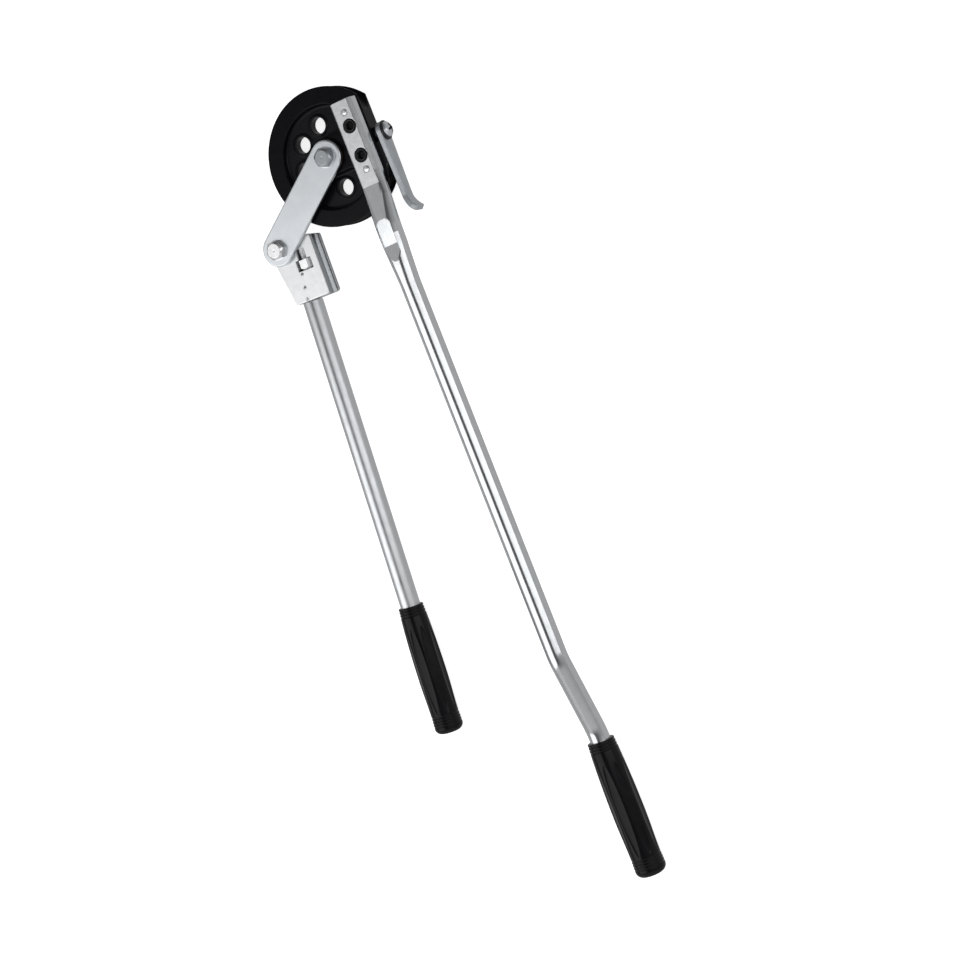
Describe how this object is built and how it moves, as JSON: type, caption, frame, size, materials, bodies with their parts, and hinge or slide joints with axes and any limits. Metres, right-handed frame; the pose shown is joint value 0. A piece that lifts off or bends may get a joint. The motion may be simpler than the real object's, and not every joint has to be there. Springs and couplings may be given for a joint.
{
  "type": "tube bender",
  "caption": "Hand tube bender: a grooved bend wheel on a long handle, a swinging link with a grooved shoe on a short handle, and a pivoting latch on the wheel's flat.",
  "frame": {"origin": "pivot axis of the bend wheel at the wheel's back face", "axes": "+Z along the pivot axis towards the side with the link and the bolts, +Y from the grips towards the wheel along the long handle, +X from the link's side towards the latch"},
  "size_m": [0.1942, 0.811, 0.0454],
  "materials": {
    "black_wheel": "satin black oxide over machined cast iron, with brighter turned edges",
    "bronze": "plain bearing bronze",
    "dull_bolt": "dull zinc plate, turned face",
    "bright_bolt": "bright zinc plate",
    "link_zinc": "satin zinc plate with broken edges",
    "shoe_zinc": "satin zinc plate, groove with fine milling lines",
    "pin_steel": "dark spring steel",
    "handle_zinc": "polished zinc plate, milled face on the tongue",
    "black_screw": "black oxide screw",
    "dowel_steel": "ground bright steel",
    "latch_steel": "grey zinc plate",
    "black_washer": "black washer",
    "grip_black": "glossy black moulded vinyl",
    "plug_black": "plain black plastic"
  },
  "bodies": {
    "wheel_and_long_handle": {"bend_wheel": "black_wheel", "wheel_thrust_washer": "bronze", "pivot_bolt": "dull_bolt", "pivot_washer": "dull_bolt", "long_handle": "handle_zinc", "long_grip": "grip_black", "long_end_plug": "plug_black", "tongue_screws": "black_screw", "tongue_dowels": "dowel_steel", "latch_spacer": "black_screw", "latch_bush": "bronze", "latch_washer": "black_washer", "latch_screw": "bright_bolt"},
    "link_arm": {"link_plate": "link_zinc", "upper_bush": "bronze", "lower_bush": "bronze"},
    "shoe_and_short_handle": {"shoe_block": "shoe_zinc", "link_pin_bolt": "bright_bolt", "link_pin_washer": "bright_bolt", "pin_thrust_washer": "bronze", "adjusting_bolt": "bright_bolt", "shoe_roll_pins": "pin_steel", "handle_set_screw": "pin_steel", "short_handle": "handle_zinc", "short_grip": "grip_black", "short_end_plug": "plug_black"},
    "latch_arm": {"latch": "latch_steel"}
  },
  "joints": [
    {"name": "link_swing", "type": "hinge", "parent": "wheel_and_long_handle", "child": "link_arm", "pos_m": [0, 0, 0.0245], "axis": [0, 0, 1], "range_deg": [-133, 5]},
    {"name": "shoe_pivot", "type": "hinge", "parent": "link_arm", "child": "shoe_and_short_handle", "pos_m": [-0.08512, -0.06027, 0.0245], "axis": [0, 0, 1], "range_deg": [-130, 8]},
    {"name": "latch_swivel", "type": "hinge", "parent": "wheel_and_long_handle", "child": "latch_arm", "pos_m": [0.0577, 0.0015, 0.00975], "axis": [1, 0, 0], "range_deg": [-180, 0]}
  ]
}
